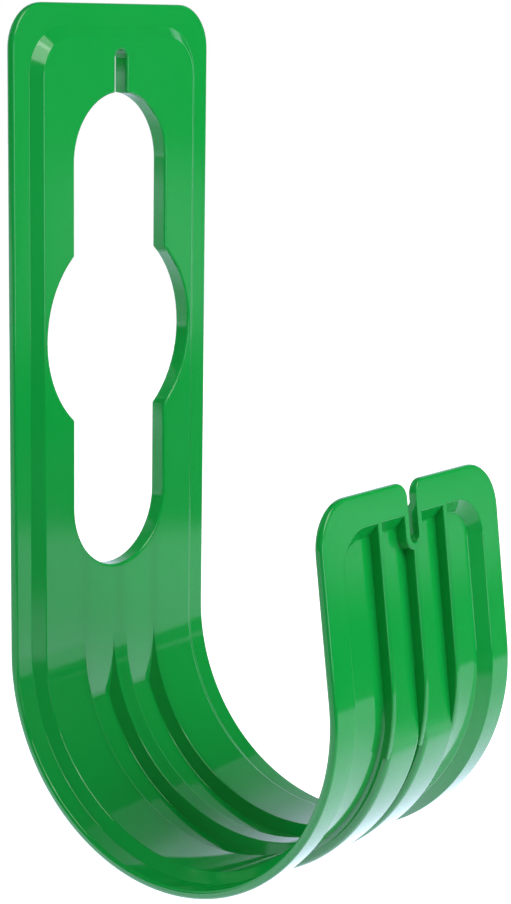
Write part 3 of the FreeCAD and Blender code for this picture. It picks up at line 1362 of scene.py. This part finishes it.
@dataclass(frozen=True)
class StageCard:
    """White floor or backdrop, which looks white to the camera and has its own look in reflections.

    Attributes:
        name: Name of the card.
        outlines: Outline of each of its faces, in metres.
        reflected: How bright it looks in a reflection, as a sum of products. Each factor is a
            falloff or a number.
        before_camera: Whether the camera sees it, and not just what stands behind it.
        colour: Colour of its matt surface.
        roughness: Roughness of that surface.
        camera_white: White that is added to the surface for the camera.
        reflected_colour: Colour that it has in a reflection.
    """

    name: str
    outlines: tuple[tuple[Place, ...], ...]
    reflected: tuple[tuple[Union[Falloff, float], ...], ...]
    before_camera: bool = True
    colour: Colour = (0.8, 0.8, 0.8)
    roughness: float = 0.9
    camera_white: float = 0.95
    reflected_colour: Colour = (0.92, 0.98, 1.28)

    def build(self) -> bpy.types.Object:
        """Make the card and mark it as part of the stage.

        Returns:
            The card.
        """
        corners = [corner for outline in self.outlines for corner in outline]
        faces: list[range] = []
        for outline in self.outlines:
            first = faces[-1].stop if faces else 0
            faces.append(range(first, first + len(outline)))
        mesh = bpy.data.meshes.new(self.name)
        mesh.from_pydata(corners, [], [tuple(face) for face in faces])
        card = bpy.data.objects.new(self.name, mesh)
        card.visible_camera = self.before_camera
        bpy.context.scene.collection.objects.link(card)
        mesh.materials.append(self.material())
        return card

    def material(self) -> bpy.types.Material:
        """Make the card's matt white, with a look of its own for the camera and for reflections.

        Returns:
            The material.
        """
        material = bpy.data.materials.new(self.name)
        material.use_nodes = True
        tree = material.node_tree
        path = tree.nodes.new("ShaderNodeLightPath")
        matt = tree.nodes["Principled BSDF"]
        feed(tree, matt.inputs["Base Color"], (*self.colour, 1.0))
        feed(tree, matt.inputs["Roughness"], self.roughness)
        white = tree.nodes.new("ShaderNodeEmission")
        strength = math_node(tree, "MULTIPLY", path.outputs["Is Camera Ray"], self.camera_white)
        feed(tree, white.inputs["Strength"], strength)
        seen = tree.nodes.new("ShaderNodeAddShader")
        feed(tree, seen.inputs[0], white.outputs[0])
        feed(tree, seen.inputs[1], matt.outputs[0])
        mirrored = tree.nodes.new("ShaderNodeEmission")
        feed(tree, mirrored.inputs["Color"], (*self.reflected_colour, 1.0))
        feed(tree, mirrored.inputs["Strength"], self.reflected_strength(tree))
        mix = tree.nodes.new("ShaderNodeMixShader")
        for socket, value in zip(mix.inputs, (path.outputs["Is Glossy Ray"], seen.outputs[0],
                                              mirrored.outputs[0])):
            feed(tree, socket, value)
        feed(tree, tree.nodes["Material Output"].inputs["Surface"], mix.outputs[0])
        return material

    def reflected_strength(self, tree: bpy.types.NodeTree) -> NodeValue:
        """Add the nodes for the card's brightness in a reflection.

        Args:
            tree: The material's nodes.

        Returns:
            The brightness.
        """
        total: NodeValue = 0.0
        for factors in self.reflected:
            product: NodeValue = 1.0
            for factor in factors:
                value = factor.build(tree) if isinstance(factor, Falloff) else factor
                product = math_node(tree, "MULTIPLY", value, product)
            total = math_node(tree, "ADD", product, total)
        return total


def disc(radius: float, height: float, steps: int) -> tuple[Place, ...]:
    """Corners of a flat disc round the Z axis.

    Args:
        radius: Radius in metres.
        height: Height in metres.
        steps: Number of corners.

    Returns:
        The corners, counterclockwise from above.
    """
    turns = [2 * math.pi * step / steps for step in range(steps)]
    return tuple((radius * math.cos(turn), radius * math.sin(turn), height) for turn in turns)


def curved_card(radius: float, foot: float, rim: Sequence[tuple[float, float]],
                step: float = 5.0) -> tuple[tuple[Place, ...], ...]:
    """Upright faces along an arc round the Z axis.

    Args:
        radius: Radius in metres.
        foot: Height of the lower edge.
        rim: Directions in degrees, from -Y towards +X, and the height of the upper edge there.
        step: Largest width of a face, in degrees.

    Returns:
        The outline of each face.
    """
    stations = [rim[0]]
    for (start, low), (end, high) in zip(rim, rim[1:]):
        count = math.ceil((end - start) / step)
        stations += [(start + (end - start) * part / count, low + (high - low) * part / count)
                     for part in range(1, count + 1)]
    line = [(radius * math.sin(math.radians(turn)), -radius * math.cos(math.radians(turn)), top)
            for turn, top in stations]
    return tuple(((*one[:2], foot), (*two[:2], foot), two, one)
                 for one, two in zip(line, line[1:]))


@dataclass
class Studio:
    """Plain white studio round the hanger.

    Attributes:
        floor_height: Height of the floor, in metres.
        floor_radius: Radius of the floor.
        floor_corners: Number of corners of its outline.
        backdrop_radius: Distance of the backdrop from the hanger.
        strip_radius: Distance of the low strip in front of the hanger.
        surround: Light of the room away from the lamps.
        reflected_surround: How bright the room looks in a reflection.
        camera: The camera.
        lamps: The softboxes.
    """

    floor_height: float = -0.2158
    floor_radius: float = 3.4
    floor_corners: int = 96
    backdrop_radius: float = 1.0
    strip_radius: float = 0.95
    surround: float = 0.12
    reflected_surround: float = 0.06
    camera: StudioCamera = field(default_factory=StudioCamera)
    lamps: tuple[Softbox, ...] = (
        Softbox(LampRole.KEY, (-0.10, -0.75, 0.43), (0.0, -0.05, -0.12), (0.46, 0.46), 2.8),
        Softbox(LampRole.FRONT, (0.50, -0.79, 0.06), (0.0, -0.05, -0.12), (0.5, 0.5), 3.3, False),
        Softbox(LampRole.OVERHEAD, (-0.08, -0.45, 0.70), (0.0, -0.05, -0.12), (0.46, 0.52), 2.3),
        Softbox(LampRole.RIM, (-0.80, 0.46, 0.06), (0.0, -0.02, -0.08), (0.45, 0.45), 2.7, False),
    )

    @property
    def foot(self) -> Place:
        """Point of the floor under the frame's origin."""
        return (0.0, 0.0, self.floor_height)

    def build(self) -> None:
        """Set up the floor, the backdrop, the front strip, the room, the lamps and the camera."""
        for card in (self.floor(), self.backdrop(), self.front_strip()):
            card.build()
        self.build_world()
        for lamp in self.lamps:
            lamp.build()
        self.camera.build()

    def floor(self) -> StageCard:
        """Floor, bright in reflections near the hanger and dim beyond a far and a left edge.

        Returns:
            The card.
        """
        near = Falloff(self.foot, Span.LEVEL, ((0.05, 2.4), (0.24, 1.0)))
        far_edge = Falloff((-0.52, 0.51, 0.0), Span.LEVEL, ((1.07, 1.0), (1.13, 0.12)))
        left_edge = Falloff((30.0, 95.4, 0.0), Span.LEVEL, ((100.25, 1.0), (100.31, 0.1)))
        away = Falloff(self.foot, Span.LEVEL, ((0.7, 0.0), (1.3, 1.0), (2.2, 1.0), (3.2, 0.4)))
        beside = Falloff((-65.6, -75.5, 0.0), Span.LEVEL,
                         ((99.86, 0.1), (100.06, 0.68), (100.22, 0.4)))
        outline = disc(self.floor_radius, self.floor_height, self.floor_corners)
        return StageCard("floor", (outline,), ((near, far_edge, left_edge), (away, beside)))

    def backdrop(self) -> StageCard:
        """Backdrop behind the hanger and to its right, dimmer in reflections towards its top.

        Returns:
            The card.
        """
        rise = Falloff(self.foot, Span.UPRIGHT,
                       ((0.3, 1.2), (0.65, 0.9), (0.95, 0.4), (1.25, 0.15)))
        rim = ((66.0, -0.2), (80.0, -0.1), (84.0, 1.1), (220.0, 1.1))
        faces = curved_card(self.backdrop_radius, self.floor_height, rim)
        return StageCard("backdrop", faces, ((rise,),), before_camera=False)

    def front_strip(self) -> StageCard:
        """Low white strip in front of the hanger.

        Returns:
            The card.
        """
        rim = ((-16.0, 0.08), (14.0, 0.08))
        faces = curved_card(self.strip_radius, self.floor_height, rim)
        return StageCard("front strip", faces, ((2.2,),), before_camera=False)

    def build_world(self) -> None:
        """Light the room evenly, with white behind the hanger."""
        world = bpy.data.worlds.new("studio")
        world.use_nodes = True
        tree = world.node_tree
        room = tree.nodes["Background"]
        feed(tree, room.inputs["Color"], (1.0, 1.0, 1.0, 1.0))
        path = tree.nodes.new("ShaderNodeLightPath")
        darker = math_node(tree, "MULTIPLY", path.outputs["Is Glossy Ray"],
                           self.surround - self.reflected_surround)
        light = math_node(tree, "SUBTRACT", self.surround, darker)
        strength = math_node(tree, "MAXIMUM", path.outputs["Is Camera Ray"], light)
        feed(tree, room.inputs["Strength"], strength)
        bpy.context.scene.world = world


def main() -> None:
    """Load the frame, build the hanger and the studio, and report each piece."""
    logging.basicConfig(level=logging.INFO, format="%(name)s: %(message)s")
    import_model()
    bpy.context.scene.view_settings.view_transform = "Standard"
    piece = Moulding().build(MouldedPlastic())
    LOG.info("%s: %d faces in one half", piece.name, len(piece.data.polygons))
    Studio().build()
    LOG.info("studio set up")


if __name__ == "__main__":
    main()
